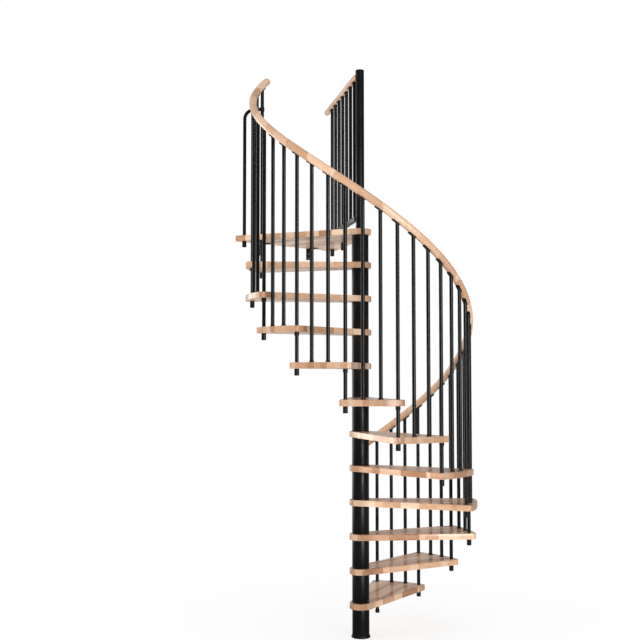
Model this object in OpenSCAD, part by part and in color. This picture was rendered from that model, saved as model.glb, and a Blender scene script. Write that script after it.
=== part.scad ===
// Spiral staircase: beech treads, landing and handrail on a black steel column.
// Origin: column axis at floor level. +Z is up. Seen from above the stair climbs clockwise.
// Sizes are in millimetres. Angles are azimuths, counted from +X towards +Y.

/* [Staircase] */
// Outer radius of the treads
tread_r = 800; // [650:5:1000]
// Height of one riser, from one top face to the next
riser = 235; // [195:1:285]
// Angle that one tread turns round the column
step_angle = 25.37; // [21:0.01:31]
// Azimuth of the front baluster of the first tread
start_az = 78.2; // [0:0.1:360]

/* [Treads and landing] */
// Thickness of the treads and of the landing
tread_t = 40; // [30:1:50]
// Diameter of the round hub end of each tread
hub_d = 154; // [145:1:180]
// Wood left round a baluster hole, from its centre to the straight edge
edge_margin = 39; // [26:1:50]
// Radius of the rounded outer corners
corner_r = 28; // [10:1:34]
// Half of the angle between the two hole lines of the landing
landing_half = 29; // [22:0.1:38]
// How far the landing's straight edge lies beyond the tread circle
landing_overhang = 45; // [20:1:90]

/* [Column] */
// Diameter of the centre pole
pole_d = 60; // [48:1:72]
// Wall of the centre pole
pole_wall = 4; // [3:0.5:6]
// Height of the pole's top above the landing
pole_above = 1135; // [1120:1:1300]
// Diameter of the spacer tubes between the treads
spacer_d = 118; // [98:1:142]
// Wall of the spacer tubes
spacer_wall = 3; // [2:0.5:5]
// Thickness of the base plate
base_t = 12; // [8:1:20]
// Height of the ring between the base plate and the first spacer
base_ring_t = 6; // [4:1:12]
// Diameter of the anchor holes in the base plate
anchor_d = 13; // [9:1:14]

/* [Balusters] */
// Diameter of the balusters
baluster_d = 25; // [18:1:27]
// Distance from the tread circle in to the baluster circle
baluster_inset = 46; // [38:1:60]
// Wall of the caps, collars and feet round a baluster
fitting_wall = 3; // [2:0.5:5]
// Height of the end cap under a tread
cap_h = 45; // [30:1:60]
// Height of the end caps of the landing railing
post_cap_h = 56; // [30:1:70]
// Height of the collar under a tread
collar_h = 25; // [15:1:35]
// Height of the conical foot on a tread
foot_h = 12; // [8:1:20]

/* [Handrail] */
// Diameter of the handrail
rail_d = 52; // [40:1:62]
// Height of the handrail's centre above the nosing line at both ends of the stair
rail_h = 1100; // [950:1:1200]
// How much higher the handrail runs halfway up the stair
rail_crown = 48; // [0:1:90]
// Baluster pitches that the handrail runs past the last baluster
rail_over = 0.75; // [0.4:0.05:1.2]
// Length of one handrail piece in baluster pitches
rail_piece = 4.1; // [3:0.05:4.8]
// Rounding radius of the handrail's two ends
tip_r = 14; // [5:1:18]
// Length of the saddle plate that runs uphill of a baluster
saddle_l = 46; // [30:1:60]
// How far the saddle plate stands out beside and downhill of the baluster
saddle_lip = 1.5; // [1:0.5:4]
// Thickness of the saddle plate
saddle_t = 4; // [3:0.5:6]

/* [Landing railing] */
// Distance of the landing railing to the left of the column axis
side_offset = 28; // [20:1:40]
// Diameter of the landing handrail
side_rail_d = 42; // [34:1:60]
// Height of the landing handrail's centre above the landing
side_rail_h = 1084; // [900:1:1150]
// Distance along the railing from the landing's outer edge in to the last baluster
side_end = 150; // [60:1:200]
// Length of the landing handrail past its last baluster
side_over = 215; // [60:1:260]
// Height of the bottom bar's centre above the landing
bar_h = 75; // [50:1:120]
// Width and depth of the bottom bar
bar_t = 30; // [26:1:40]
// Reach of the closing tube outwards from the last stair baluster
closing_reach = 141; // [110:1:150]
// Height of the closing tube's level part above the landing
closing_h = 925; // [800:1:1000]
// Bend radius of the closing tube
closing_bend = 60; // [40:1:70]

/* [Brackets] */
// Length of the bracket's hanging leg
bracket_drop = 88; // [60:1:120]
// Width of a bracket
bracket_w = 46; // [30:1:60]
// Thickness of a bracket
bracket_t = 4; // [3:0.5:8]
// Length of the bracket's leg under the landing
bracket_leg = 100; // [60:1:140]
// Distance of each bracket from the middle of the landing's edge
bracket_side = 226; // [100:1:260]
// Diameter of the bracket's bolt holes
bracket_hole_d = 7; // [5:0.5:13]
// Distance between the two bolt holes of a bracket
bracket_pitch = 36; // [30:1:60]

/* [Fits] */
// Radial clearance of a tube in its hole
bore_gap = 0.4; // [0.2:0.1:0.8]
// Seat gap between curved faces that meet
seat_gap = 0.3; // [0.1:0.1:0.6]

/* [Hidden] */
$fn = 64;
tread_count = 11;
per_tread = 3;
last = tread_count * per_tread;
pitch_az = step_angle / per_tread;
landing_z = riser * (tread_count + 1);
baluster_r = tread_r - baluster_inset;
rod_r = baluster_d / 2;
fitting_r = rod_r + bore_gap + fitting_wall;
hub_r = hub_d / 2;
landing_edge = tread_r + landing_overhang;

// Handrail pieces: a short first piece, whole pieces, and what is left at the top
rail_first = 1.1;
rail_start = -0.8;
rail_stop = last + rail_over;
rail_count = 1 + ceil((rail_stop - rail_first) / rail_piece);
ring_step = 0.34;
rail_sides = 16;

// Base: anchor holes sit halfway between the pole and the spacer's inner wall
base_r = spacer_d / 2 + 6;
anchor_r = (pole_d / 2 + spacer_d / 2 - spacer_wall) / 2;
spacer_foot = base_t + base_ring_t;

// Landing railing: it runs parallel to the right hole line of the landing
side_az = az(last) - 2 * landing_half;
side_rods = 7;
side_first = 43;
side_last = landing_edge / cos(landing_half) - side_end;
side_pitch = (side_last - side_first) / (side_rods - 1);
side_posts = [3, 6];
side_top = side_rail_h - plate_drop(side_rail_d);
pole_top = landing_z + pole_above;
cap_t = 6;
blind = 6;
chamfer = 4;

TREADS = [for (k = [1:tread_count]) str("tread_", k)];
RODS = [for (k = [1:tread_count]) str("balusters_", k)];
RAILS = [for (s = [1:rail_count]) str("handrail_", s)];

// Baluster number i counts from 0 at the first tread, three to a tread
function az(i) = start_az - i * pitch_az;
function nosing_z(i) = riser * (1 + i / per_tread);
function rail_z(i) = nosing_z(i) + rail_h + rail_crown * sin(180 * i / last);
function spot(i) = [baluster_r * cos(az(i)), baluster_r * sin(az(i)), 0];
function is_long(i) = i % per_tread == 0;

// Slope of the handrail at baluster i, from its rise per pitch and the pitch's length
function slope_at(i) =
    atan((riser / per_tread + rail_crown * PI / last * cos(180 * i / last)) / (baluster_r * pitch_az * PI / 180));

// From the centre of a rail down to the underside of its saddle plate, square to the rail
function plate_drop(d) = d / 2 + seat_gap + saddle_t;

// A rod stops where its flat top just clears the sloping plate
function rod_drop(i) = plate_drop(rail_d) / cos(slope_at(i)) + rod_r * tan(slope_at(i));

// Points of an arc of radius r round c, from angle a to angle b
function arc(c, r, a, b, steps) =
    [for (j = [0:steps]) c + r * [cos(a + (b - a) * j / steps), sin(a + (b - a) * j / steps)]];

function flip(pts) = [for (j = [len(pts) - 1:-1:0]) [pts[j].x, -pts[j].y]];

// Angle of the straight edge's normal, for a hole line at angle half and a hole at radius r
function edge_normal(half, r) = half + acos((hub_r - edge_margin) / r);

// Corner centre for an outer arc of radius r, and for a straight outer edge at distance r
function arc_corner(n) =
    let (out = tread_r - corner_r, a = n - acos((hub_r - corner_r) / out))
    out * [cos(a), sin(a)];
function flat_corner(n) =
    let (x = landing_edge - corner_r)
    [x, (hub_r - corner_r - x * cos(n)) / sin(n)];

// Half outlines with the middle of the piece on the x axis; the other half is mirrored
function tread_half() =
    let (n = edge_normal(step_angle / 2, baluster_r), c = arc_corner(n), a = atan2(c.y, c.x))
    concat(arc([0, 0], tread_r, 0, a, 8), arc(c, corner_r, a + 15, n, 5), arc([0, 0], hub_r, n, 180, 8));
function landing_half_outline() =
    let (n = edge_normal(landing_half, baluster_r), c = flat_corner(n))
    concat(arc(c, corner_r, 0, n, 8), arc([0, 0], hub_r, n, 180, 8));

// A whole outline from its half: points on the x axis are kept once
function whole(half) =
    let (inner = [for (p = half) if (abs(p.y) > 0.01) p], on_axis = [for (p = half) if (abs(p.y) <= 0.01) p])
    concat(inner, [for (p = on_axis) if (p.x < 0) p], flip(inner), [for (p = on_axis) if (p.x > 0) p]);

module hole(i, r, z, h) {
    translate(spot(i) + [0, 0, z]) cylinder(r = r, h = h);
}

// ---- Column ----

module base_plate() {
    color([0.09, 0.09, 0.1])
    difference() {
        cylinder(r = base_r, h = base_t);
        for (a = [45:90:315])
            rotate(a) translate([anchor_r, 0, -1]) cylinder(d = anchor_d, h = base_t + 2);
    }
}

module base_ring() {
    color([0.12, 0.12, 0.13])
    translate([0, 0, base_t])
    difference() {
        cylinder(r = base_r - 3, h = base_ring_t);
        translate([0, 0, -1]) cylinder(r = spacer_d / 2 - spacer_wall - 2, h = base_ring_t + 2);
    }
}

module centre_pole() {
    color([0.08, 0.08, 0.09])
    translate([0, 0, base_t])
    difference() {
        cylinder(d = pole_d, h = pole_top - cap_t - base_t);
        translate([0, 0, -1]) cylinder(r = pole_d / 2 - pole_wall, h = pole_top);
    }
}

module pole_cap() {
    color([0.05, 0.05, 0.05])
    translate([0, 0, pole_top - cap_t]) {
        cylinder(d = pole_d + 1, h = cap_t);
        translate([0, 0, -20]) cylinder(r = pole_d / 2 - pole_wall - seat_gap, h = 21);
    }
}

module spacer(z, h) {
    translate([0, 0, z])
    difference() {
        cylinder(d = spacer_d, h = h);
        translate([0, 0, -1]) cylinder(r = spacer_d / 2 - spacer_wall, h = h + 2);
    }
}

module spacer_tubes() {
    color([0.08, 0.08, 0.09]) {
        spacer(spacer_foot, riser - tread_t - spacer_foot);
        for (k = [1:tread_count])
            spacer(riser * k, riser - tread_t);
    }
}

// ---- Treads and landing ----

module tread(k) {
    front = per_tread * (k - 1);
    z = riser * k - tread_t;
    color([0.76, 0.6, 0.46])
    difference() {
        translate([0, 0, z]) rotate(az(front) - step_angle / 2)
            linear_extrude(tread_t) polygon(whole(tread_half()));
        translate([0, 0, z - 1]) cylinder(r = pole_d / 2 + bore_gap, h = tread_t + 2);
        hole(front, rod_r + bore_gap, z - 1, tread_t + 2);
        hole(front + per_tread, rod_r + bore_gap, z - 1, tread_t + 2);
    }
}

module landing() {
    z = landing_z - tread_t;
    color([0.78, 0.63, 0.49])
    difference() {
        translate([0, 0, z]) rotate(az(last) - landing_half)
            linear_extrude(tread_t) polygon(whole(landing_half_outline()));
        translate([0, 0, z - 1]) cylinder(r = pole_d / 2 + bore_gap, h = tread_t + 2);
        hole(last, rod_r + bore_gap, z - 1, tread_t + 2);
        translate(closing_foot() + [0, 0, z - 1]) cylinder(r = rod_r + bore_gap, h = tread_t + 2);
        for (j = side_posts)
            on_side(side_first + j * side_pitch, z - 1) cylinder(r = rod_r + bore_gap, h = tread_t + 2);
    }
}

// ---- Balusters and their fittings ----

// Lowest point of baluster i: the floor foot, the end cap below a tread, or a tread's top face
function rod_foot(i) =
    i == 0 ? blind :
    is_long(i) ? nosing_z(i) - riser - tread_t - cap_h + blind :
    riser * (1 + floor(i / per_tread));

module rod(i) {
    z = rod_foot(i);
    translate(spot(i) + [0, 0, z]) cylinder(r = rod_r, h = rail_z(i) - rod_drop(i) - z);
}

module balusters(k) {
    color([0.08, 0.08, 0.09])
    for (j = [0:per_tread - 1])
        rod(per_tread * (k - 1) + j);
}

module top_baluster() {
    color([0.08, 0.08, 0.09]) rod(last);
}

module foot() {
    difference() {
        cylinder(r1 = fitting_r, r2 = rod_r + bore_gap + 1, h = foot_h);
        translate([0, 0, -1]) cylinder(r = rod_r + bore_gap, h = foot_h + 2);
    }
}

// A cup with a chamfered bottom that closes a rod's lower end; its rim is at z = 0
module end_cap(h) {
    translate([0, 0, -h])
    difference() {
        union() {
            cylinder(r1 = fitting_r - chamfer, r2 = fitting_r, h = chamfer);
            translate([0, 0, chamfer]) cylinder(r = fitting_r, h = h - chamfer);
        }
        translate([0, 0, blind]) cylinder(r = rod_r + seat_gap, h = h);
    }
}

module baluster_feet() {
    color([0.06, 0.06, 0.06]) {
        difference() {
            translate(spot(0)) cylinder(r = fitting_r, h = collar_h);
            translate(spot(0) + [0, 0, blind]) cylinder(r = rod_r + seat_gap, h = collar_h);
        }
        for (i = [0:last - 1])
            if (!is_long(i)) translate(spot(i) + [0, 0, rod_foot(i)]) foot();
    }
}

module end_caps() {
    color([0.06, 0.06, 0.06])
    for (k = [1:tread_count])
        translate(spot(per_tread * k) + [0, 0, riser * k - tread_t]) end_cap(cap_h);
}

// A clamping collar whose top is at z = 0, with its screw on the outer side
module collar() {
    translate([0, 0, -collar_h])
    difference() {
        union() {
            cylinder(r = fitting_r, h = collar_h);
            translate([0, 0, collar_h / 2]) rotate([0, 90, 0]) cylinder(d = 9, h = fitting_r + 3);
        }
        translate([0, 0, -1]) cylinder(r = rod_r + seat_gap, h = collar_h + 2);
    }
}

module collars() {
    color([0.06, 0.06, 0.06])
    for (k = [1:tread_count + 1])
        translate(spot(per_tread * (k - 1)) + [0, 0, riser * k - tread_t]) rotate(az(per_tread * (k - 1))) collar();
}

// A plate that lies under a rail of diameter d at the given slope, on a neck as wide as the rod.
// x runs uphill, and the origin is on the rail's centre line, right above the rod.
module saddle(tilt, d) {
    seat = plate_drop(d) / cos(tilt);
    back = rod_r / cos(tilt) + saddle_lip;
    side = rod_r + saddle_lip;
    translate([0, 0, -seat]) rotate([0, -tilt, 0])
        translate([-back, -side, 0]) cube([back + saddle_l, 2 * side, saddle_t]);
    if (tilt > 0)
        translate([0, 0, -seat])
        intersection() {
            translate([0, 0, -rod_r * tan(tilt)]) cylinder(r = rod_r, h = rail_d);
            rotate([0, -tilt, 0])
                translate([-rail_d, -rail_d, saddle_t / 2 - 2 * rail_d]) cube(2 * rail_d);
        }
}

module rail_saddles() {
    color([0.06, 0.06, 0.06]) {
        for (i = [0:last])
            translate(spot(i) + [0, 0, rail_z(i)]) rotate(az(i) - 90) saddle(slope_at(i), rail_d);
        for (j = [0:side_rods - 1])
            on_side(side_first + j * side_pitch, landing_z + side_rail_h) saddle(0, side_rail_d);
    }
}

// ---- Handrail ----

// Stations of a piece: [position in pitches, share of the section's radius]
function tip(at, dir) =
    [for (q = [15, 40, 65, 88])
        [at - dir * tip_r * (1 - sin(q)) * pitch_per_mm(at), 1 - tip_r / rail_d * 2 * (1 - cos(q))]];
function pitch_per_mm(i) = cos(slope_at(i)) * 180 / (PI * baluster_r * pitch_az);
function piece_from(s) = s == 1 ? rail_start : rail_first + (s - 2) * rail_piece;
function piece_to(s) = min(rail_first + (s - 1) * rail_piece, rail_stop);
function plain(a, b) =
    let (n = ceil((b - a) / ring_step))
    [for (j = [0:n]) [a + (b - a) * j / n, 1]];
function stations(s) =
    let (
        a = piece_from(s),
        b = piece_to(s),
        low = s == 1 ? [for (j = [3:-1:0]) tip(a, -1)[j]] : [],
        high = s == rail_count ? tip(b, 1) : [],
        from = s == 1 ? a + tip_r * pitch_per_mm(a) : a,
        upto = s == rail_count ? b - tip_r * pitch_per_mm(b) : b
    )
    concat(low, plain(from, upto), high);

// One ring of the section, square to the helix at station st
function ring(st) =
    let (a = az(st[0]), t = slope_at(st[0]), r = st[1] * rail_d / 2)
    [for (j = [0:rail_sides - 1])
        let (u = r * cos(360 * j / rail_sides), v = r * sin(360 * j / rail_sides))
        [
            (baluster_r + u) * cos(a) - v * sin(t) * sin(a),
            (baluster_r + u) * sin(a) + v * sin(t) * cos(a),
            rail_z(st[0]) + v * cos(t)
        ]];

// A closed solid through rings of rail_sides points each
module sweep(rings) {
    m = len(rings);
    n = rail_sides;
    points = [for (r = rings) each r];
    sides = [for (i = [0:m - 2], j = [0:n - 1]) let (a = i * n + j, b = i * n + (j + 1) % n)
        each [[a, b, a + n], [b, b + n, a + n]]];
    ends = [[for (j = [n - 1:-1:0]) j], [for (j = [0:n - 1]) (m - 1) * n + j]];
    polyhedron(points, concat(sides, ends), convexity = 6);
}

module handrail(s) {
    tone = 0.03 * (s % 3);
    color([0.78 - tone, 0.6 - tone, 0.45 - tone]) sweep([for (st = stations(s)) ring(st)]);
}

// ---- Landing railing ----

// Places children on the railing's line, t from the axis line, with x along the railing
module on_side(t, z) {
    translate([-side_offset, 0, z]) rotate(side_az) translate([t, 0, 0]) children();
}

module landing_rail() {
    run = side_last + side_over;
    color([0.77, 0.6, 0.46])
    difference() {
        on_side(0, landing_z + side_rail_h) rotate([0, 90, 0]) {
            cylinder(d = side_rail_d, h = run - tip_r);
            translate([0, 0, run - tip_r])
                cylinder(r1 = side_rail_d / 2, r2 = side_rail_d / 2 - tip_r / 2, h = tip_r);
        }
        cylinder(r = pole_d / 2 + seat_gap, h = pole_top + 1);
    }
}

module landing_bar() {
    color([0.08, 0.08, 0.09])
    difference() {
        on_side(0, landing_z + bar_h) translate([0, -bar_t / 2, -bar_t / 2])
            cube([side_last + bar_t, bar_t, bar_t]);
        cylinder(r = pole_d / 2 + seat_gap, h = pole_top + 1);
        for (j = side_posts)
            on_side(side_first + j * side_pitch, landing_z) cylinder(r = rod_r + seat_gap, h = 2 * bar_h);
    }
}

module landing_balusters() {
    color([0.08, 0.08, 0.09])
    for (j = [0:side_rods - 1]) {
        post = len(search(j, side_posts)) > 0;
        z = post ? -tread_t - post_cap_h + blind : bar_h + bar_t / 2;
        on_side(side_first + j * side_pitch, landing_z + z) cylinder(r = rod_r, h = side_top - z);
    }
}

function closing_foot() = (baluster_r + closing_reach) * [cos(az(last)), sin(az(last)), 0];

module landing_caps() {
    color([0.06, 0.06, 0.06]) {
        for (j = side_posts)
            on_side(side_first + j * side_pitch, landing_z - tread_t) end_cap(post_cap_h);
        translate(closing_foot() + [0, 0, landing_z - tread_t]) end_cap(cap_h);
    }
}

// A rod that stands on the landing, bends inwards and meets the clamp on the top baluster
module closing_tube() {
    low = landing_z - tread_t - cap_h + blind;
    level = landing_z + closing_h;
    outer = baluster_r + closing_reach;
    bend = arc([outer - closing_bend, level - closing_bend], closing_bend, 0, 90, 9);
    path = concat([[outer, low]], bend, [[baluster_r + fitting_r + 4, level]]);
    tilts = concat([0], [for (j = [0:9]) 10 * j], [90]);
    color([0.08, 0.08, 0.09])
    rotate(az(last)) sweep([for (j = [0:len(path) - 1]) rod_ring(path[j], tilts[j])]);
}

// One ring of the closing tube at p = [distance from the axis, height], tilted inwards by t
function rod_ring(p, t) =
    [for (j = [0:rail_sides - 1])
        let (u = rod_r * cos(360 * j / rail_sides), v = rod_r * sin(360 * j / rail_sides))
        [p.x + u * cos(t), v, p.y + u * sin(t)]];

module closing_clamp() {
    z = landing_z + closing_h;
    color([0.06, 0.06, 0.06])
    rotate(az(last)) translate([baluster_r, 0, z])
    difference() {
        union() {
            translate([0, 0, -rod_r - 3]) cylinder(r = fitting_r, h = baluster_d + 6);
            rotate([0, 90, 0]) cylinder(r = rod_r + 1, h = fitting_r + 4);
        }
        translate([0, 0, -rod_r - 4]) cylinder(r = rod_r + seat_gap, h = baluster_d + 8);
    }
}

// An angle bracket that holds the landing to the edge of the upper floor
module bracket() {
    difference() {
        union() {
            translate([-bracket_leg, -bracket_w / 2, -bracket_t]) cube([bracket_leg, bracket_w, bracket_t]);
            translate([-bracket_t, -bracket_w / 2, -bracket_drop]) cube([bracket_t, bracket_w, bracket_drop]);
        }
        for (z = [0, bracket_pitch])
            translate([-bracket_t - 1, 0, z - bracket_drop + bracket_hole_d + 4]) rotate([0, 90, 0])
                cylinder(d = bracket_hole_d, h = bracket_t + 2);
    }
}

module landing_brackets() {
    color([0.1, 0.1, 0.11])
    for (side = [-1, 1])
        translate([0, 0, landing_z - tread_t]) rotate(az(last) - landing_half)
            translate([landing_edge, side * bracket_side, 0]) bracket();
}

base_plate();
base_ring();
centre_pole();
pole_cap();
spacer_tubes();
for (k = [1:tread_count]) tread(k);
landing();
for (k = [1:tread_count]) balusters(k);
top_baluster();
baluster_feet();
end_caps();
collars();
rail_saddles();
for (s = [1:rail_count]) handrail(s);
landing_rail();
landing_bar();
landing_balusters();
landing_caps();
closing_tube();
closing_clamp();
landing_brackets();
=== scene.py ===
import bmesh
import bpy
from math import acos, atan, atan2, ceil, cos, hypot, pi, radians, sin, tan
from mathutils import Matrix, Vector


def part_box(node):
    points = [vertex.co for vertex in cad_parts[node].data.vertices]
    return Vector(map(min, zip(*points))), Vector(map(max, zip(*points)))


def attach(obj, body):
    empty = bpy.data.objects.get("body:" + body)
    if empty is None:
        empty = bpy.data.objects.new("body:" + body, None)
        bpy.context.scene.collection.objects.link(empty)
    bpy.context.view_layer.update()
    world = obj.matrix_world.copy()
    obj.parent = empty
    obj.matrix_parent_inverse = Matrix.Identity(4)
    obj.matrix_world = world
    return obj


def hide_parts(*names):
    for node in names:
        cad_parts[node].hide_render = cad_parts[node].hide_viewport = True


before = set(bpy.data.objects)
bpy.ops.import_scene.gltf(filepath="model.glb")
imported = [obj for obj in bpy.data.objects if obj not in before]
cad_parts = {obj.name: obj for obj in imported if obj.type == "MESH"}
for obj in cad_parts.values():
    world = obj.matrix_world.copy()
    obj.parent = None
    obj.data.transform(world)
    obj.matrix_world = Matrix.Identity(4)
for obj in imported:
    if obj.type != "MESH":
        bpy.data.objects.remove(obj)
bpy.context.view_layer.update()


# ---- Helpers ----
# Short names for what repeats below: linking objects, building shader trees, rounding edges
# over, picking vertices out of an operator's result, and finishing a piece.

weld = 0.00001
sharp_angle = radians(34)


def link(obj):
    bpy.context.scene.collection.objects.link(obj)
    return obj


def socket_of(made, key):
    """An input socket by its name, with _ for a space, or by its number, as in i0 or i1."""
    if key[0] == "i" and key[1:].isdigit():
        return made.inputs[int(key[1:])]
    return made.inputs[key.replace("_", " ")]


def node(tree, kind, **inputs):
    """A shader node; each keyword sets an input socket's value or links another node's output."""
    made = tree.nodes.new(kind)
    for key, value in inputs.items():
        put = socket_of(made, key)
        if isinstance(value, bpy.types.NodeSocket):
            tree.links.new(value, put)
        else:
            put.default_value = value
    return made


def maths(tree, operation, a, b=0.0, c=0.0):
    made = node(tree, "ShaderNodeMath", i0=a, i1=b, i2=c)
    made.operation = operation
    return made.outputs[0]


def vector_maths(tree, operation, a, b=(0, 0, 0), c=(0, 0, 0)):
    """The outputs of a vector maths node: 0 is the vector, Value the number."""
    made = node(tree, "ShaderNodeVectorMath", i0=a, i1=b, i2=c)
    made.operation = operation
    return made.outputs


def spread(tree, value, low, high, to_low, to_high):
    """The value carried over from the range low to high to the range to_low to to_high."""
    return node(tree, "ShaderNodeMapRange", Value=value, From_Min=low, From_Max=high,
                To_Min=to_low, To_Max=to_high).outputs["Result"]


def noise(tree, place, scale, detail, rough, distortion=0.0):
    return node(tree, "ShaderNodeTexNoise", Vector=place, Scale=scale, Detail=detail,
                Roughness=rough, Distortion=distortion).outputs["Fac"]


def ramp(tree, fac, stops):
    """A colour ramp over fac; stops are (position, colour)."""
    made = node(tree, "ShaderNodeValToRGB", Fac=fac)
    elements = made.color_ramp.elements
    while len(elements) < len(stops):
        elements.new(0.5)
    for element, (place, colour) in zip(elements, stops):
        element.position = place
        element.color = (*colour, 1)
    return made.outputs["Color"]


def new_material(name):
    made = bpy.data.materials.new(name)
    made.use_nodes = True
    tree = made.node_tree
    return made, tree, tree.nodes["Principled BSDF"]


def verts_of(geom):
    return [g for g in geom if isinstance(g, bmesh.types.BMVert)]


def ease(bm, edges, size, segments):
    """Rounds the given edges over."""
    return bmesh.ops.bevel(bm, geom=list(edges), offset=size, offset_type="OFFSET",
                           affect="EDGES", segments=segments, profile=0.5, material=-1)


def finish_piece(bm, name, nodes, material):
    """Turns a bmesh into a finished piece that rides on the stair and stands for CAD nodes."""
    bmesh.ops.remove_doubles(bm, verts=bm.verts, dist=weld)
    bmesh.ops.recalc_face_normals(bm, faces=bm.faces)
    mesh = bpy.data.meshes.new(name)
    bm.to_mesh(mesh)
    bm.free()
    mesh.shade_smooth()
    mesh.set_sharp_from_angle(angle=sharp_angle)
    for face in mesh.polygons:
        face.use_smooth = len(face.vertices) <= 8
    piece = link(bpy.data.objects.new(name, mesh))
    mesh.materials.append(material)
    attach(piece, "root")
    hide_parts(*nodes)
    return piece


# ---- Floor, light and camera ----
# A plain white floor that runs on to a white surround, lit like a photo studio: a large soft
# light on each side, which leaves the long soft highlights on the round black tubes.

white = (1, 1, 1, 1)
floor_paint_grey = (0.86, 0.86, 0.86, 1)
floor_bounce = 0.65
fade_from = 0.2
fade_to = 2.6
fade_least = 0.80
backdrop_way = (-0.5, 0.866, 0)
surround_grey = 0.60
mirror_dark = 0.06
mirror_bright = 0.45

bm = bmesh.new()
bmesh.ops.create_circle(bm, cap_ends=True, radius=60, segments=96)
floor_mesh = bpy.data.meshes.new("floor")
bm.to_mesh(floor_mesh)
bm.free()
floor_obj = link(bpy.data.objects.new("floor", floor_mesh))
floor_paint, tree, shader = new_material("white_floor")
shader.inputs["Base Color"].default_value = floor_paint_grey
shader.inputs["Roughness"].default_value = 0.9
shader.inputs["Specular IOR Level"].default_value = 0.1
shader.inputs["Emission Color"].default_value = white
# Seen by any ray but the camera's, the floor also glows: painted bounce light that lightens the
# undersides of the boards
rays = node(tree, "ShaderNodeLightPath").outputs
bounce = spread(tree, rays["Is Camera Ray"], 0, 1, floor_bounce, 0)
tree.links.new(bounce, shader.inputs["Emission Strength"])

# The paint fades to the white of the surround within a few metres, so that no horizon shows
floor_spot = node(tree, "ShaderNodeTexCoord").outputs["Object"]
floor_far = vector_maths(tree, "LENGTH", floor_spot)["Value"]
fade = spread(tree, floor_far, fade_from, fade_to, fade_least, 1.0)
seen_fade = maths(tree, "MULTIPLY", fade, rays["Is Camera Ray"])
glow = node(tree, "ShaderNodeEmission").outputs[0]
seen = node(tree, "ShaderNodeMixShader", Fac=seen_fade, i1=shader.outputs[0], i2=glow)

# Mirrored, the floor is bright towards the backdrop behind the stair and dark in front of it
floor_y = node(tree, "ShaderNodeSeparateXYZ", i0=floor_spot).outputs["Y"]
falling = spread(tree, floor_y, 0, 4, mirror_dark, mirror_bright)
dim = node(tree, "ShaderNodeEmission", Strength=falling).outputs[0]
either = node(tree, "ShaderNodeMixShader", Fac=rays["Is Glossy Ray"], i1=seen.outputs[0], i2=dim)
tree.links.new(either.outputs[0], tree.nodes["Material Output"].inputs["Surface"])
floor_obj.data.materials.append(floor_paint)

# The surround is white to look at and soft grey as a light. Mirrored, it is a white backdrop
# behind the stair and to its left, and a dark studio in front
world = bpy.data.worlds.new("white_surround")
world.use_nodes = True
tree = world.node_tree
backdrop = tree.nodes["Background"]
rays = node(tree, "ShaderNodeLightPath").outputs
looking = node(tree, "ShaderNodeTexCoord").outputs["Generated"]
toward = vector_maths(tree, "DOT_PRODUCT", looking, backdrop_way)["Value"]
mirrored = spread(tree, toward, 0.25, 0.85, mirror_dark, mirror_bright)
softened = node(tree, "ShaderNodeMix", i0=rays["Is Glossy Ray"], i2=surround_grey,
                i3=mirrored).outputs[0]
strength = maths(tree, "MAXIMUM", softened, rays["Is Camera Ray"])
tree.links.new(strength, backdrop.inputs["Strength"])
backdrop.inputs["Color"].default_value = white
bpy.context.scene.world = world
bpy.context.scene.view_settings.view_transform = "Standard"


def soft_light(name, place, target, size, watts):
    """A rectangular soft box at place that looks at target."""
    lamp = bpy.data.lights.new(name, "AREA")
    lamp.shape = "RECTANGLE"
    lamp.size, lamp.size_y = size
    lamp.energy = watts
    obj = link(bpy.data.objects.new(name, lamp))
    obj.location = place
    obj.rotation_euler = (Vector(target) - Vector(place)).to_track_quat("-Z", "Y").to_euler()
    obj.visible_camera = False
    return obj


soft_light("light_front", (3.0, -5.8, 2.6), (0, 0, 2.0), (1.4, 4.6), 200)
soft_light("light_rim", (-5.0, 4.4, 2.6), (0, 0, 2.2), (2.4, 5.0), 95)
soft_light("light_left", (-5.2, -2.6, 3.0), (0, 0, 2.0), (2.4, 4.6), 185).visible_glossy = False
soft_light("light_top", (0.6, -1.8, 7.6), (0, 0, 1.0), (4.0, 4.0), 150).visible_glossy = False

camera_data = bpy.data.cameras.new("camera")
camera_data.lens = 58.33
camera_data.sensor_width = 36
camera = link(bpy.data.objects.new("camera", camera_data))
camera.location = (-0.2814, -7.2416, 1.7965)
camera.rotation_euler = (radians(93.0617), 0, 0)
bpy.context.scene.camera = camera


# ---- Column: centre pole, spacer tubes, base plate and ring, pole plug ----
# A round steel pole carries everything. Steel spacer tubes threaded over it clamp the treads
# between them. All are powder-coated satin black; the plug and the foot ring are black nylon.

def black_coat(name, dark, light, rough, peel, dust_and_sheen_spots):
    """Powder coat or nylon: near black, with fine orange peel, a little handling, and light specks
    of dust and painted sheen.
    """
    made, tree, shader = new_material(name)
    place = node(tree, "ShaderNodeTexCoord").outputs["Object"]
    clouds = noise(tree, place, 6.0, 4.0, 0.6)
    pebble = noise(tree, place, peel, 3.0, 0.55)
    specks = node(tree, "ShaderNodeTexVoronoi", Vector=place, Scale=420.0).outputs["Distance"]
    # Tiny spots lighter in colour: dust, and painted sheen on the coat
    dust_and_sheen_speck = maths(tree, "LESS_THAN", specks, dust_and_sheen_spots)
    tone = maths(tree, "MULTIPLY_ADD", dust_and_sheen_speck, 0.25, clouds)
    colour = ramp(tree, tone, [(0.32, dark), (0.75, light)])
    tree.links.new(colour, shader.inputs["Base Color"])
    gloss = spread(tree, clouds, 0.3, 0.7, rough - 0.05, rough + 0.07)
    tree.links.new(gloss, shader.inputs["Roughness"])
    bump = node(tree, "ShaderNodeBump", Strength=0.05, Distance=0.0003, Height=pebble)
    tree.links.new(bump.outputs["Normal"], shader.inputs["Normal"])
    shader.inputs["IOR"].default_value = 1.5
    return made


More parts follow.
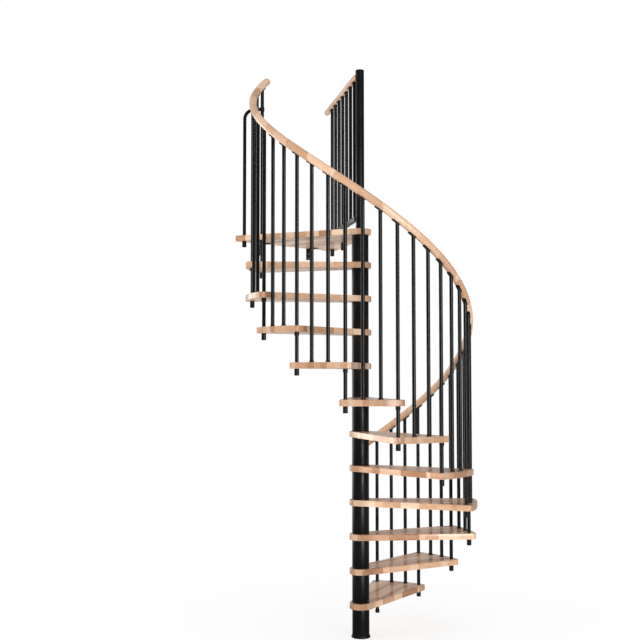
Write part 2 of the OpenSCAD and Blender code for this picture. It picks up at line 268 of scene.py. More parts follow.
coat_dark = (0.002, 0.0022, 0.0026)
coat_light = (0.005, 0.0055, 0.006)
nylon_dark = (0.003, 0.003, 0.0034)
nylon_light = (0.007, 0.007, 0.0075)
column_coat = black_coat("column_powder_coat", coat_dark, coat_light, 0.32, 900.0, 0.05)
nylon = black_coat("black_nylon", nylon_dark, nylon_light, 0.42, 1500.0, 0.03)


def tube(bm, low, high, outer, inner, edge, segments=96):
    """An upright tube on the column axis with bevelled rims; inner=0 gives a solid bar."""
    made = bmesh.ops.create_circle(bm, cap_ends=True, radius=outer, segments=segments,
                                   matrix=Matrix.Translation((0, 0, low)))
    faces = list({f for v in made["verts"] for f in v.link_faces})
    up = bmesh.ops.extrude_face_region(bm, geom=faces)["geom"]
    bmesh.ops.translate(bm, vec=(0, 0, high - low), verts=verts_of(up))
    caps = faces + [g for g in up if isinstance(g, bmesh.types.BMFace)]
    if inner > 0:
        rims = bmesh.ops.inset_region(bm, faces=caps, thickness=outer - inner,
                                      use_even_offset=True)["faces"]
        bmesh.ops.bridge_loops(bm, edges=[e for f in caps for e in f.edges])
        bmesh.ops.delete(bm, geom=caps, context="FACES_ONLY")
        round_over = {e for f in rims for e in f.edges
                      if min(hypot(*v.co.xy) for v in e.verts) > outer - edge / 9}
    else:
        round_over = {e for f in caps for e in f.edges}
    ease(bm, round_over, edge, 3)


def extent(name):
    """Lowest z, highest z and outer radius of an upright round node on the column axis."""
    low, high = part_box(name)
    return low.z, high.z, (high.x - low.x) / 2


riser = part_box("tread_2")[1].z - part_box("tread_1")[1].z
tread_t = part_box("tread_1")[1].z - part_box("tread_1")[0].z
treads = 11
landing_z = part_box("landing")[1].z
pole_low, pole_high, pole_r = extent("centre_pole")
spacer_low, _, spacer_r = extent("spacer_tubes")
plug_low, plug_high, plug_r = extent("pole_cap")
plate_low, plate_high, plate_r = extent("base_plate")
ring_low, ring_high, ring_r = extent("base_ring")
pole_wall = 0.004
spacer_wall = 0.003
cut_edge = 0.0006
rolled_edge = 0.0008
turned_edge = 0.0016
moulded_edge = 0.0024

bm = bmesh.new()
tube(bm, pole_low, pole_high, pole_r, pole_r - pole_wall, cut_edge, 80)
finish_piece(bm, "column_pole", ["centre_pole"], column_coat)

bm = bmesh.new()
tube(bm, spacer_low, riser - tread_t, spacer_r, spacer_r - spacer_wall, rolled_edge)
for k in range(1, treads + 1):
    tube(bm, riser * k, riser * (k + 1) - tread_t, spacer_r, spacer_r - spacer_wall,
         rolled_edge)
finish_piece(bm, "column_spacers", ["spacer_tubes"], column_coat)

# The plug: a low dome with a thin lip, on a shank inside the pole
bm = bmesh.new()
tube(bm, plug_low, pole_high, pole_r - pole_wall - 0.0004, 0, 0.001, 64)
tube(bm, pole_high, plug_high, plug_r, 0, moulded_edge, 80)
finish_piece(bm, "column_plug", ["pole_cap"], nylon)

# The base: a plate bolted to the floor, with a turned foot ring that centres the first spacer
bm = bmesh.new()
tube(bm, plate_low, plate_high, plate_r, 0, turned_edge)
finish_piece(bm, "base_plate_turned", ["base_plate"], column_coat)
bm = bmesh.new()
tube(bm, ring_low, ring_high, ring_r, spacer_r - spacer_wall - 0.002, turned_edge)
finish_piece(bm, "base_foot_ring", ["base_ring"], nylon)


# ---- Treads and landing ----
# Solid beech boards glued up from finger-jointed staves that run from the hub outwards, with
# rounded edges and a satin varnish. Each is threaded over the pole and clamped by the spacers.

hub_r = 0.077
corner_r = 0.028
edge_margin = 0.039
bore_gap = 0.0004
rod_r = 0.0125
rod_hole = rod_r + bore_gap
board_edge = 0.003
drill_length = 0.12
rim_margin = 0.046
landing_reach = 0.045
stave_w = 0.043
block_l = 0.26
timber_along = 3.7
timber_across = 0.86
step = radians(25.37)
pitch = step / 3
last = 3 * treads
top_low, top_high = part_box("top_baluster")
top_spot = (top_low + top_high) / 2
baluster_r = hypot(top_spot.x, top_spot.y)
start = atan2(top_spot.y, top_spot.x) + last * pitch
tread_r = baluster_r + rim_margin
landing_half = radians(29)
landing_edge = tread_r + landing_reach


def azimuth(i):
    return start - i * pitch


def spot(i, z):
    return Vector((baluster_r * cos(azimuth(i)), baluster_r * sin(azimuth(i)), z))


def turned(angle, z=0.0):
    return Matrix.Translation((0, 0, z)) @ Matrix.Rotation(angle, 4, "Z")


def board(half, outer_arc):
    """A board with a round hub end, two straight edges and rounded outer corners, x outwards."""
    normal = half + acos((hub_r - edge_margin) / baluster_r)
    bm = bmesh.new()
    bmesh.ops.create_circle(bm, radius=hub_r, segments=96)
    if outer_arc:
        reach = tread_r - corner_r
        corner = normal - acos((hub_r - corner_r) / reach)
        x, y = reach * cos(corner), reach * sin(corner)
        rim = bmesh.ops.create_circle(bm, radius=tread_r, segments=540)["verts"]
        beyond = [v for v in rim if abs(atan2(v.co.y, v.co.x)) > corner]
        bmesh.ops.delete(bm, geom=beyond, context="VERTS")
    else:
        x = landing_edge - corner_r
        y = (hub_r - corner_r - x * cos(normal)) / sin(normal)
    for side in (-1, 1):
        bmesh.ops.create_circle(bm, radius=corner_r, segments=48,
                                matrix=Matrix.Translation((x, side * y, 0)))
    low = list(bm.verts)
    high = bmesh.ops.duplicate(bm, geom=low)["geom"]
    bmesh.ops.translate(bm, vec=(0, 0, tread_t), verts=high)
    made = bmesh.ops.convex_hull(bm, input=list(bm.verts), use_existing_faces=False)
    spare = {v for key in ("geom_interior", "geom_unused") for v in verts_of(made[key])}
    bmesh.ops.delete(bm, geom=list(spare), context="VERTS")
    bmesh.ops.dissolve_limit(bm, angle_limit=radians(0.2), verts=bm.verts, edges=bm.edges)
    rims = [e for e in bm.edges if abs(e.verts[0].co.z - e.verts[1].co.z) < 0.0001]
    ease(bm, rims, board_edge, 4)
    return bm


def drilled(bm, holes):
    """The piece with round holes; a hole is a frame, whose z it follows, and a radius."""
    blank = bpy.data.meshes.new("blank")
    bm.to_mesh(blank)
    bm.clear()
    work = link(bpy.data.objects.new("blank", blank))
    for place, radius in holes:
        bmesh.ops.create_cone(bm, cap_ends=True, segments=48, radius1=radius, radius2=radius,
                              depth=drill_length, matrix=place)
    drill = bpy.data.meshes.new("drill")
    bm.to_mesh(drill)
    bm.clear()
    bit = link(bpy.data.objects.new("drill", drill))
    cut = work.modifiers.new("holes", "BOOLEAN")
    cut.operation = "DIFFERENCE"
    cut.solver = "EXACT"
    cut.object = bit
    bm.from_mesh(work.evaluated_get(bpy.context.evaluated_depsgraph_get()).to_mesh())
    bpy.data.objects.remove(work)
    bpy.data.objects.remove(bit)
    return bm


def beech(name, stave, block, tones, rough, end_grain):
    """Varnished beech in glued staves. The grain attribute gives x along, y across, z through."""
    made, tree, shader = new_material(name)
    grain = node(tree, "ShaderNodeAttribute")
    grain.attribute_name = "grain"
    split = node(tree, "ShaderNodeSeparateXYZ", Vector=grain.outputs["Vector"]).outputs
    along, across, through = split["X"], split["Y"], split["Z"]

    # Staves side by side, each a row of blocks finger-jointed end to end
    stave_at = maths(tree, "DIVIDE", across, stave)
    row = maths(tree, "FLOOR", stave_at)
    row_at = node(tree, "ShaderNodeCombineXYZ", X=row).outputs[0]
    row_seed = node(tree, "ShaderNodeTexWhiteNoise", Vector=row_at).outputs["Value"]
    fingers = maths(tree, "PINGPONG", through, 0.0035)
    shifted = maths(tree, "MULTIPLY_ADD", fingers, 2.6, along)
    blocks = maths(tree, "DIVIDE", shifted, block)
    block_at = maths(tree, "MULTIPLY_ADD", row_seed, 9.7, blocks)
    column = maths(tree, "FLOOR", block_at)
    which = node(tree, "ShaderNodeCombineXYZ", X=row, Y=column).outputs[0]
    seed = node(tree, "ShaderNodeTexWhiteNoise", Vector=which).outputs
    tone = seed["Value"]
    jump = vector_maths(tree, "MULTIPLY", seed["Color"], (40, 40, 40))[0]

    # Growth bands and fine streaks, long and narrow, different in each block
    def stretched(x, y, z):
        return vector_maths(tree, "MULTIPLY_ADD", grain.outputs["Vector"], (x, y, z), jump)[0]

    bands = noise(tree, stretched(2.2, 46, 46), 1.0, 4.0, 0.55, 0.6)
    streaks = noise(tree, stretched(14, 420, 420), 1.0, 3.0, 0.6)
    fleck_at = stretched(190, 900, 900)
    fleck_field = node(tree, "ShaderNodeTexVoronoi", Vector=fleck_at, Scale=1.0).outputs["Distance"]
    fleck = maths(tree, "LESS_THAN", fleck_field, 0.2)

    shade = maths(tree, "MULTIPLY_ADD", maths(tree, "SUBTRACT", bands, 0.5), 0.55, tone)
    shade = maths(tree, "MULTIPLY_ADD", maths(tree, "SUBTRACT", streaks, 0.5), 0.30, shade)
    colour = ramp(tree, shade, tones)

    # Glue lines between staves and between blocks
    def near_edge(value, width):
        part = maths(tree, "FRACT", value)
        far = maths(tree, "MINIMUM", part, maths(tree, "SUBTRACT", 1.0, part))
        return maths(tree, "LESS_THAN", far, width)

    glue_line = 0.0003
    glue = maths(tree, "MAXIMUM", near_edge(stave_at, glue_line / stave),
                 near_edge(block_at, glue_line / block))
    dark = maths(tree, "MULTIPLY_ADD", glue, 0.30, maths(tree, "MULTIPLY", fleck, 0.16))

    if end_grain:
        spots = node(tree, "ShaderNodeTexCoord").outputs
        level = vector_maths(tree, "MULTIPLY", spots["Object"], (1, 1, 0))[0]
        outwards = vector_maths(tree, "NORMALIZE", level)[0]
        facing = vector_maths(tree, "DOT_PRODUCT", spots["Normal"], outwards)["Value"]
        ends = spread(tree, maths(tree, "ABSOLUTE", facing), 0.55, 0.9, 0, 1)
        pores = noise(tree, grain.outputs["Vector"], 900.0, 2.0, 0.5)
        dark = maths(tree, "MULTIPLY_ADD", maths(tree, "MULTIPLY", ends, pores), 1.05, dark)

    mixed = node(tree, "ShaderNodeMix", Factor=dark, i6=colour, i7=(0.23, 0.12, 0.062, 1))
    mixed.data_type = "RGBA"
    tree.links.new(mixed.outputs[2], shader.inputs["Base Color"])
    gloss = spread(tree, streaks, 0.3, 0.7, rough - 0.04, rough + 0.08)
    tree.links.new(gloss, shader.inputs["Roughness"])
    relief = maths(tree, "MULTIPLY_ADD", glue, -0.8, streaks)
    bump = node(tree, "ShaderNodeBump", Strength=0.10, Distance=0.0004, Height=relief)
    tree.links.new(bump.outputs["Normal"], shader.inputs["Normal"])
    shader.inputs["Specular IOR Level"].default_value = 0.35
    shader.inputs["Coat Weight"].default_value = 0.5
    shader.inputs["Coat Roughness"].default_value = 0.10
    return made


tread_tones = [(0.0, (0.34, 0.172, 0.092)), (0.3, (0.49, 0.290, 0.174)),
               (0.62, (0.60, 0.390, 0.258)), (1.0, (0.71, 0.520, 0.380))]
tread_beech = beech("beech_staves", stave_w, block_l, tread_tones, 0.34, True)


def set_grain(bm, rule):
    """Writes the grain attribute: where each point lies in the timber it was cut from."""
    layer = bm.verts.layers.float_vector.new("grain")
    for v in bm.verts:
        v[layer] = rule(v.co)


def place_board(template, name, node_name, angle, top, offset):
    """A turned copy of a drilled board at its height, cut from timber of its own."""
    bm = template.copy()
    set_grain(bm, lambda co: (co.x + timber_along * offset,
                              co.y + stave_w / 2 + timber_across * offset, co.z))
    bmesh.ops.transform(bm, matrix=turned(angle, top - tread_t), verts=bm.verts)
    return finish_piece(bm, name, [node_name], tread_beech)


def polar(radius, angle):
    return Vector((radius * cos(angle), radius * sin(angle), 0))


def upright(place):
    return Matrix.Translation(place)


tread_board = drilled(board(step / 2, True), [
    (upright((0, 0, 0)), pole_r + bore_gap),
    (upright(polar(baluster_r, step / 2)), rod_hole),
    (upright(polar(baluster_r, -step / 2)), rod_hole)])
for k in range(1, treads + 1):
    place_board(tread_board, f"tread_{k}_board", f"tread_{k}", azimuth(3 * k - 1.5), riser * k, k)

# The landing: a wider board with a straight outer edge that meets the upper floor
landing_az = azimuth(last) - landing_half
side_az = azimuth(last) - 2 * landing_half
side_offset = 0.028
side_rods = 7
side_first = 0.043
side_setback = 0.150
side_last = landing_edge / cos(landing_half) - side_setback
side_pitch = (side_last - side_first) / (side_rods - 1)
side_posts = (3, 6)
closing_out = 0.141
closing_r = baluster_r + closing_out
closing_spot = polar(closing_r, azimuth(last))
to_landing = Matrix.Rotation(-landing_az, 4, "Z")


def side_spot(t, z):
    """A point t along the landing railing, measured from the line across the column axis."""
    return Vector((-side_offset, 0, z)) + polar(t, side_az)


def side_rod_spot(j, z):
    """A point on the axis of rod j of the landing railing, counted from the pole."""
    return side_spot(side_first + j * side_pitch, z)


landing_board = drilled(board(landing_half, False), [
    (upright((0, 0, 0)), pole_r + bore_gap),
    (to_landing @ upright(polar(baluster_r, azimuth(last))), rod_hole),
    (to_landing @ upright(closing_spot), rod_hole)]
    + [(to_landing @ upright(side_rod_spot(j, 0)), rod_hole) for j in side_posts])
place_board(landing_board, "landing_board", "landing", landing_az, landing_z, 0)


# ---- Balusters ----
# Round steel tubes, powder-coated satin black, three to a tread. Every third one runs down
# through two treads and bolts them together; the others stand on a tread in a nylon foot.

rod_coat = black_coat("rod_powder_coat", coat_dark, coat_light, 0.30, 1100.0, 0.04)
steel_nodes = [f"balusters_{k}" for k in range(1, treads + 1)]
steel_nodes += ["top_baluster", "landing_balusters"]
for name in steel_nodes:
    for material_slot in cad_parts[name].material_slots:
        material_slot.material = rod_coat


# ---- Feet, end caps and collars ----
# Black nylon mouldings. A foot is a low cone round a short baluster, an end cap is a cup with a
# rounded bottom that closes a long one, and a collar clamps it below a tread with a screw.

fitting_r = rod_hole + 0.003
slip = 0.0003
bore = rod_r + slip
axis_r = 0.0001


def lathe(bm, profile, place, steps=40):
    """A closed profile of (radius, height) points turned once round the z axis of place."""
    verts = [bm.verts.new((r, 0, z)) for r, z in profile]
    edges = [bm.edges.new((verts[j], verts[(j + 1) % len(verts)])) for j in range(len(verts))]
    made = bmesh.ops.spin(bm, geom=verts + edges, axis=(0, 0, 1), cent=(0, 0, 0), angle=2 * pi,
                          steps=steps, use_merge=True)
    reached = set(verts) | set(verts_of(made["geom_last"]))
    grown = set(reached)
    while reached:
        reached = {e.other_vert(v) for v in reached for e in v.link_edges} - grown
        grown |= reached
    bmesh.ops.transform(bm, matrix=place, verts=list(grown))


def screw(bm, place, radius, height):
    """A round screw head along the z axis of place, with a round recess in its end."""
    sides = 24
    made = bmesh.ops.create_cone(bm, cap_ends=True, segments=sides, radius1=radius,
                                 radius2=radius, depth=height,
                                 matrix=place @ Matrix.Translation((0, 0, height / 2)))
    out = (place.to_3x3() @ Vector((0, 0, 1))).normalized()
    faces = {f for v in made["verts"] for f in v.link_faces}
    bm.normal_update()
    top = max(faces, key=lambda f: f.calc_center_median().dot(out))
    ease(bm, top.edges, height * 0.2, 2)
    top = max({f for v in bm.verts for f in v.link_faces if len(f.verts) == sides
               and (f.calc_center_median() - place.translation).length < height * 1.5},
              key=lambda f: f.calc_center_median().dot(out))
    bmesh.ops.inset_region(bm, faces=[top], thickness=radius * 0.45)
    down = bmesh.ops.extrude_face_region(bm, geom=[top])["geom"]
    bmesh.ops.translate(bm, vec=out * -height * 0.5, verts=verts_of(down))
    bmesh.ops.delete(bm, geom=[top], context="FACES_ONLY")


def rounded(radius, height, centre, from_angle, to_angle, steps):
    """Profile points along an arc, angles in degrees from the outward direction."""
    angles = [radians(from_angle + (to_angle - from_angle) * j / steps) for j in range(steps + 1)]
    return [(centre[0] + radius * cos(a), centre[1] + height * sin(a)) for a in angles]


def baluster_frame(i, z):
    """A frame on the axis of baluster i at the height z, with x outwards."""
    return upright(spot(i, z)) @ Matrix.Rotation(azimuth(i), 4, "Z")


foot_h = 0.012
cone = [(bore, 0), (fitting_r - 0.0003, 0), (fitting_r, 0.0004), (fitting_r, 0.0028),
        (fitting_r - 0.0002, 0.0034), (rod_r + 0.0013, foot_h - 0.0008), (rod_r + 0.0009, foot_h),
        (bore, foot_h)]
bm = bmesh.new()
for i in range(last):
    if i % 3:
        lathe(bm, cone, baluster_frame(i, riser * (1 + i // 3)))
cup_low = 0.006
cup_round = 0.003
collar_h = 0.025
base_cup = [(axis_r, 0), (fitting_r - cup_round, 0)]
base_cup += rounded(cup_round, cup_round, (fitting_r - cup_round, cup_round), -75, 0, 5)
base_cup += [(fitting_r, collar_h - 0.0008), (fitting_r - 0.0008, collar_h), (bore, collar_h),
             (bore, cup_low), (axis_r, cup_low)]
lathe(bm, base_cup, upright(spot(0, 0)))
finish_piece(bm, "baluster_foot_cones", ["baluster_feet"], nylon)


def cup(bm, place, depth):
    """An end cap, its rim at the origin of place: a cup with a rounded bottom and a groove."""
    groove_r = fitting_r - 0.0005
    lathe(bm, [(axis_r, -depth), (fitting_r - 0.005, -depth)]
          + rounded(0.005, 0.004, (fitting_r - 0.005, 0.004 - depth), -75, 0, 6)
          + [(fitting_r, -0.0062), (groove_r, -0.0056), (groove_r, -0.0048), (fitting_r, -0.0042),
             (fitting_r, -0.0006), (fitting_r - 0.0006, 0), (bore, 0), (bore, cup_low - depth),
             (axis_r, cup_low - depth)], place)


tread_cap_h = riser - tread_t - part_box("end_caps")[0].z
post_cap_h = landing_z - tread_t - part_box("landing_caps")[0].z
bm = bmesh.new()
for k in range(1, treads + 1):
    cup(bm, upright(spot(3 * k, riser * k - tread_t)), tread_cap_h)
finish_piece(bm, "end_cap_cups", ["end_caps"], nylon)

bm = bmesh.new()
for j in side_posts:
    cup(bm, upright(side_rod_spot(j, landing_z - tread_t)), post_cap_h)
cup(bm, upright(closing_spot + Vector((0, 0, landing_z - tread_t))), tread_cap_h)
finish_piece(bm, "landing_cap_cups", ["landing_caps"], nylon)

collar = [(bore, -collar_h), (fitting_r - 0.0012, -collar_h), (fitting_r, 0.0012 - collar_h),
          (fitting_r, -0.0008), (fitting_r - 0.0008, 0), (bore, 0)]
collar_screw_size = (0.0045, 0.0038)
screw_seat = Matrix.Translation((fitting_r - 0.0008, 0, -collar_h / 2))
outwards = screw_seat @ Matrix.Rotation(pi / 2, 4, "Y")
bm = bmesh.new()
for k in range(1, treads + 2):
    place = baluster_frame(3 * (k - 1), riser * k - tread_t)
    lathe(bm, collar, place)
    screw(bm, place @ outwards, *collar_screw_size)
finish_piece(bm, "clamp_collars", ["collars"], nylon)


# ---- Handrail ----
# A round beech rail in nine lengths, butt-jointed with dowels and bent to the helix, its two
# ends rounded. It lies on steel saddle plates that are screwed to it from below.

rail_r = 0.026
rail_h = 1.100
rail_crown = 0.048
rail_first = 1.1
rail_piece = 4.1
rail_start = -0.8
rail_stop = last + 0.75
rail_count = 1 + ceil((rail_stop - rail_first) / rail_piece)
tip_r = 0.014
joint_r = 0.0007
station_step = 0.12
tip_turn = pi / 2 * 0.97


def rail_z(i):
    return riser * (1 + i / 3) + rail_h + rail_crown * sin(pi * i / last)


def slope_at(i):
    return atan((riser / 3 + rail_crown * pi / last * cos(pi * i / last)) / (baluster_r * pitch))


def pitch_per_m(i):
    return cos(slope_at(i)) / (baluster_r * pitch)


def along_helix(i, radius, lift=0.0):
    """A frame on the rail at baluster number i: x outwards, y square to the rail, z uphill."""
    a, t = azimuth(i), slope_at(i)
    outwards = Vector((cos(a), sin(a), 0))
    square = Vector((-sin(t) * sin(a), sin(t) * cos(a), cos(t)))
    centre = Vector((baluster_r * cos(a), baluster_r * sin(a), rail_z(i)))
    frame_at = Matrix((outwards, square, outwards.cross(square))).transposed().to_4x4()
    return Matrix.Translation(centre) @ frame_at @ Matrix.Diagonal((radius, radius, 1, 1))


def rod_through(bm, places, sides=40):
    """A round rod through a row of frames, each scaled to the radius there, with closed ends."""
    ring = bmesh.ops.create_circle(bm, cap_ends=True, radius=1, segments=sides,
                                   matrix=places[0])["verts"]
    edges = list({e for v in ring for e in v.link_edges})
    for before, after in zip(places, places[1:]):
        grown = bmesh.ops.extrude_edge_only(bm, edges=edges)["geom"]
        edges = [g for g in grown if isinstance(g, bmesh.types.BMEdge) and g.is_boundary]
        bmesh.ops.transform(bm, matrix=after @ before.inverted(), verts=verts_of(grown))
    bmesh.ops.contextual_create(bm, geom=edges)


def end_rings(at, direction, radius, rounding, rise_per_m, steps):
    """Stations (position, radius) that round off an end over its last bit, outermost last."""
    rings = []
    for j in range(1, steps + 1):
        q = tip_turn * j / steps
        rings.append((at - direction * rounding * (1 - sin(q)) * rise_per_m,
                      radius - rounding * (1 - cos(q))))
    return rings


def rail_stations(s):
    """Stations of length s of the handrail, from its lower end to its upper one."""
    low = rail_start if s == 1 else rail_first + (s - 2) * rail_piece
    high = min(rail_first + (s - 1) * rail_piece, rail_stop)
    low_round = tip_r if s == 1 else joint_r
    high_round = tip_r if s == rail_count else joint_r
    first = end_rings(low, -1, rail_r, low_round, pitch_per_m(low), 8 if s == 1 else 2)
    final = end_rings(high, 1, rail_r, high_round, pitch_per_m(high), 8 if s == rail_count else 2)
    start_at = low + low_round * pitch_per_m(low)
    stop_at = high - high_round * pitch_per_m(high)
    count = ceil((stop_at - start_at) / station_step)
    body = [(start_at + (stop_at - start_at) * j / count, rail_r) for j in range(count + 1)]
    return first[::-1] + body + final


rail_tones = [(0.0, (0.39, 0.222, 0.130)), (0.3, (0.46, 0.280, 0.174)),
              (0.65, (0.52, 0.335, 0.220)), (1.0, (0.59, 0.410, 0.288))]
rail_beech = beech("beech_rail", 0.2, 0.19, rail_tones, 0.36, False)
full_turn = 2 * pi / pitch


def rail_number(co):
    """The baluster number of a point on the rail, told apart from turn to turn by its height."""
    i = ((start - atan2(co.y, co.x)) % (2 * pi)) / pitch
    choices = (i - full_turn, i, i + full_turn)
    return min(choices, key=lambda n: abs(rail_z(min(max(n, -3), last + 3)) - co.z))


def rail_grain(s):
    """The rule for one length of the rail: its timber runs along the helix."""
    def rule(co):
        i = rail_number(co)
        out = hypot(co.x, co.y) - baluster_r
        above = (co.z - rail_z(i)) * cos(slope_at(i))
        return i / pitch_per_m(i) + 5.3 * s, out + 0.1 + 0.6 * s, above + 0.05
    return rule


for s in range(1, rail_count + 1):
    bm = bmesh.new()
    rod_through(bm, [along_helix(i, r) for i, r in rail_stations(s)])
    set_grain(bm, rail_grain(s))
    finish_piece(bm, f"rail_length_{s}", [f"handrail_{s}"], rail_beech)


# ---- Saddles ----
# Under the rail each baluster ends in a short neck with a flat plate, cast in one piece and
# painted black. The plate runs uphill along the rail's underside and takes two wood screws.

saddle_t = 0.004
saddle_l = 0.046
saddle_lip = 0.0015
seat_gap = 0.0003
plate_corner = 0.0085
plate_edge = 0.0007
plate_screws = (0.022, 0.037)
plate_screw_size = (0.0036, 0.0016)


def saddle(bm, centre, tilt, radius):
    """A saddle below the rail at centre, with x uphill; tilt is the rail's slope there."""
    seat = (radius + seat_gap + saddle_t) / cos(tilt)
    under = centre @ Matrix.Translation((0, 0, -seat)) @ Matrix.Rotation(-tilt, 4, "Y")
    back = rod_r / cos(tilt) + saddle_lip
    half = rod_r + saddle_lip
    length = back + saddle_l
    plate = bmesh.ops.create_cube(
        bm, size=1, matrix=under @ Matrix.Translation((length / 2 - back, 0, saddle_t / 2))
        @ Matrix.Diagonal((length, 2 * half, saddle_t, 1)))["verts"]
    up = (under.to_3x3() @ Vector((0, 0, 1))).normalized()
    edges = {e for v in plate for e in v.link_edges}
    corners = [e for e in edges
               if abs((e.verts[0].co - e.verts[1].co).normalized().dot(up)) > 0.99]
    made = ease(bm, corners, plate_corner, 6)
    near = {f for v in made["verts"] for f in v.link_faces if len(f.verts) > 8}
    ease(bm, {e for f in near for e in f.edges}, plate_edge, 2)
    for x in plate_screws:
        down = under @ Matrix.Translation((x, 0, 0.0004)) @ Matrix.Rotation(pi, 4, "X")
        screw(bm, down, *plate_screw_size)
    if tilt > 0:
        neck_r = rod_r + 0.0001
        drop = rod_r * tan(tilt) + 0.010
        neck = bmesh.ops.create_cone(bm, cap_ends=False, segments=40, radius1=neck_r,
                                     radius2=neck_r, depth=2 * drop,
                                     matrix=centre @ Matrix.Translation((0, 0, -seat)))["verts"]
        geom = list(neck) + list({e for v in neck for e in v.link_edges})
        geom += list({f for v in neck for f in v.link_faces})
        cut = bmesh.ops.bisect_plane(bm, geom=geom, dist=0.000001, plane_no=up, clear_outer=True,
                                     plane_co=under @ Vector((0, 0, saddle_t / 2)))
        rim = [g for g in cut["geom_cut"] if isinstance(g, bmesh.types.BMEdge)]
        open_end = [e for v in neck if v.is_valid for e in v.link_edges
                    if e.is_boundary and e not in rim]
        bmesh.ops.contextual_create(bm, geom=rim)
        bmesh.ops.contextual_create(bm, geom=list(set(open_end)))


bm = bmesh.new()
for i in range(last + 1):
    centre = upright(spot(i, rail_z(i))) @ Matrix.Rotation(azimuth(i) - pi / 2, 4, "Z")
    saddle(bm, centre, slope_at(i), rail_r)
side_rail_r = 0.021
side_rail_h = 1.084
side_rail_z = landing_z + side_rail_h
for j in range(side_rods):
    centre = upright(side_rod_spot(j, side_rail_z)) @ Matrix.Rotation(side_az, 4, "Z")
    saddle(bm, centre, 0, side_rail_r)
finish_piece(bm, "rail_saddle_plates", ["rail_saddles"], nylon)


# ---- Landing railing ----
# A straight round beech rail and a square steel bottom bar run from the pole along the
# landing's open side, with seven tubes between them. Two of them go down through the landing.

side_overhang = 0.215
side_end = side_last + side_overhang
side_way = Matrix.Rotation(side_az, 4, "Z") @ Matrix.Rotation(pi / 2, 4, "Y")
pole_edge = 0.0006


def side_frame(t, radius):
    """A frame on the landing rail, with z along it, scaled to the radius there."""
    return (upright(side_spot(t, side_rail_z)) @ side_way
            @ Matrix.Diagonal((radius, radius, 1, 1)))


def side_rings():
    """Stations of the landing rail: a small chamfer at the pole and a rounded outer end."""
    rings = [(0.0, side_rail_r - pole_edge), (pole_edge, side_rail_r)]
    rings += [(pole_edge + (side_end - tip_r) * j / 40, side_rail_r) for j in range(1, 40)]
    for j in range(9):
        q = tip_turn * j / 8
        rings.append((side_end - tip_r * (1 - sin(q)), side_rail_r - tip_r * (1 - cos(q))))
    return rings


bm = bmesh.new()
rod_through(bm, [side_frame(t, r) for t, r in side_rings()])
bmesh.ops.recalc_face_normals(bm, faces=bm.faces)
drilled(bm, [(upright((0, 0, side_rail_z)), pole_r + seat_gap)])
along_side = side_frame(0, 1).inverted()
set_grain(bm, lambda co: (along_side @ co).zxy + Vector((51.0, 6.7, 0.05)))
finish_piece(bm, "landing_rail_round", ["landing_rail"], rail_beech)

# The bottom bar is a square tube, closed at its outer end and saddled on the pole
bar_low, bar_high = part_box("landing_bar")
bar_t = bar_high.z - bar_low.z
bar_z = (bar_high.z + bar_low.z) / 2
bar_end = side_last + bar_t
bar_edge = 0.0022
to_side = upright(side_spot(0, bar_z)) @ Matrix.Rotation(side_az, 4, "Z")
bm = bmesh.new()
bmesh.ops.create_cube(bm, size=1, matrix=to_side @ Matrix.Translation((bar_end / 2, 0, 0))
                      @ Matrix.Diagonal((bar_end, bar_t, bar_t, 1)))
ease(bm, bm.edges, bar_edge, 3)
drilled(bm, [(upright((0, 0, bar_z)), pole_r + seat_gap)]
        + [(upright(side_rod_spot(j, bar_z)), bore) for j in side_posts])
finish_piece(bm, "landing_bar_square", ["landing_bar"], rod_coat)


# ---- Closing tube and clamp ----
# A tube like the balusters stands at the landing's outer corner, bends inwards over the gap
# beside the stair and is held to the top baluster by a nylon clamp with two screws.

closing_h = 0.925
closing_bend = 0.060
closing_az = azimuth(last)
outward = polar(1, closing_az)
sideways = Vector((-outward.y, outward.x, 0))


def bent_frame(radial, z, tilt, radius):
    """A frame on the tube's path in the upright plane through the column, tilted inwards."""
    across = outward * cos(tilt) + Vector((0, 0, sin(tilt)))
    axes = Matrix((across, sideways, across.cross(sideways))).transposed().to_4x4()
    return (upright(outward * radial + Vector((0, 0, z))) @ axes
            @ Matrix.Diagonal((radius, radius, 1, 1)))


closing_low = landing_z - tread_t - tread_cap_h + cup_low
closing_level = landing_z + closing_h
clamp_reach = baluster_r + fitting_r + 0.004
straight = closing_level - closing_bend - closing_low
path = [(closing_r, closing_low + straight * j / 12, 0) for j in range(12)]
for j in range(17):
    q = pi / 2 * j / 16
    path.append((closing_r - closing_bend * (1 - cos(q)),
                 closing_level - closing_bend * (1 - sin(q)), q))
path.append((clamp_reach, closing_level, pi / 2))
bm = bmesh.new()
rod_through(bm, [bent_frame(radial, z, tilt, rod_r) for radial, z, tilt in path])
finish_piece(bm, "closing_tube_bent", ["closing_tube"], rod_coat)

clamp_half = rod_r + 0.003
clamp_edge = 0.0012
clamp_screw_lift = 0.007
clamp_screw_size = (0.003, 0.0022)
clamp_at = (upright(outward * baluster_r + Vector((0, 0, closing_level)))
            @ Matrix.Rotation(closing_az, 4, "Z"))
bm = bmesh.new()
lathe(bm, [(bore, -clamp_half), (fitting_r - clamp_edge, -clamp_half),
           (fitting_r, clamp_edge - clamp_half), (fitting_r, clamp_half - clamp_edge),
           (fitting_r - clamp_edge, clamp_half), (bore, clamp_half)], clamp_at)
socket_r = rod_r + 0.001
lathe(bm, [(axis_r, fitting_r - 0.002), (socket_r, fitting_r - 0.002),
           (socket_r, fitting_r + 0.003), (socket_r - 0.0008, fitting_r + 0.004),
           (axis_r, fitting_r + 0.004)],
      clamp_at @ Matrix.Rotation(pi / 2, 4, "Y"))
for lift in (-clamp_screw_lift, clamp_screw_lift):
    seat = Matrix.Translation((0, 0.001 - fitting_r, lift))
    screw(bm, clamp_at @ seat @ Matrix.Rotation(pi / 2, 4, "X"), *clamp_screw_size)
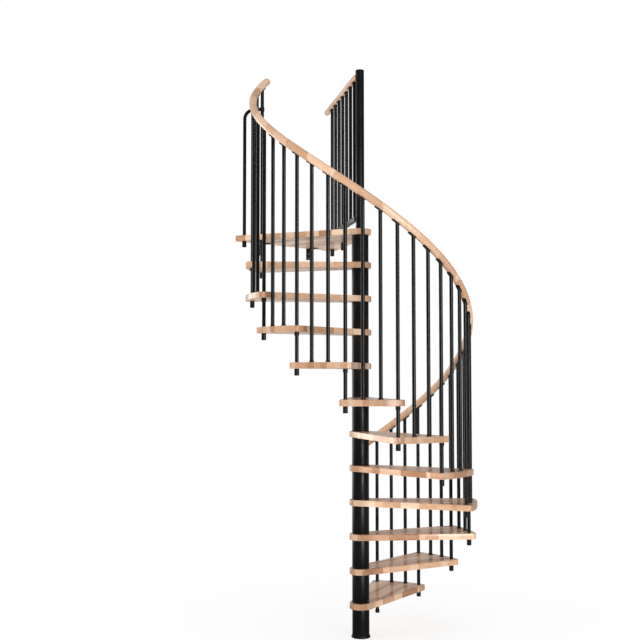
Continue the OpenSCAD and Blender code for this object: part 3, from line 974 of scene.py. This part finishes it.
finish_piece(bm, "closing_clamp_body", ["closing_clamp"], nylon)


# ---- Landing brackets ----
# Two black angle brackets of folded steel under the landing's straight edge. Each is screwed
# up into the landing, and its hanging leg is bolted to the edge of the upper floor.

bracket_coat = black_coat("bracket_powder_coat", nylon_dark, (0.006, 0.0063, 0.007), 0.5,
                          700.0, 0.05)
bracket_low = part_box("landing_brackets")[0].z
bracket_t = 0.004
bracket_w = 0.046
bracket_leg = 0.100
bracket_side = 0.226
bracket_drop = landing_z - tread_t - bracket_low
bracket_hole_r = 0.0035
bracket_pitch = 0.036
leg_corner = 0.006
leg_screws = (-0.028, -0.076)
leg_screw_size = (0.0055, 0.0028)
fold_r = 0.0035
tiny = 1e-6
lowest_hole = 2 * bracket_hole_r + 0.004 - bracket_drop

bm = bmesh.new()
for side in (-1, 1):
    one = bmesh.new()
    profile = [(0, 0), (0, -bracket_drop), (-bracket_t, -bracket_drop), (-bracket_t, -bracket_t),
               (-bracket_leg, -bracket_t), (-bracket_leg, 0)]
    face = one.faces.new([one.verts.new((x, -bracket_w / 2, z)) for x, z in profile])
    grown = bmesh.ops.extrude_face_region(one, geom=[face])["geom"]
    bmesh.ops.translate(one, vec=(0, bracket_w, 0), verts=verts_of(grown))
    bmesh.ops.recalc_face_normals(one, faces=one.faces)
    ends = [e for e in one.edges if e.calc_length() < bracket_t * 1.01
            and (min(v.co.z for v in e.verts) <= tiny - bracket_drop
                 or max(v.co.x for v in e.verts) <= tiny - bracket_leg)]
    ease(one, ends, leg_corner, 5)
    fold = [e for e in one.edges
            if all(abs(v.co.x) < tiny and abs(v.co.z) < tiny for v in e.verts)]
    ease(one, fold, fold_r, 4)
    sideways_hole = Matrix.Rotation(pi / 2, 4, "Y")
    drilled(one, [(upright((0, 0, lowest_hole + lift)) @ sideways_hole, bracket_hole_r)
                  for lift in (0, bracket_pitch)])
    for x in leg_screws:
        down = upright((x, 0, 0.0002 - bracket_t)) @ Matrix.Rotation(pi, 4, "X")
        screw(one, down, *leg_screw_size)
    seat = upright((landing_edge, side * bracket_side, 0))
    bmesh.ops.transform(one, matrix=turned(landing_az, landing_z - tread_t) @ seat, verts=one.verts)
    joined = bpy.data.meshes.new("bracket")
    one.to_mesh(joined)
    one.free()
    bm.from_mesh(joined)
finish_piece(bm, "landing_bracket_angles", ["landing_brackets"], bracket_coat)
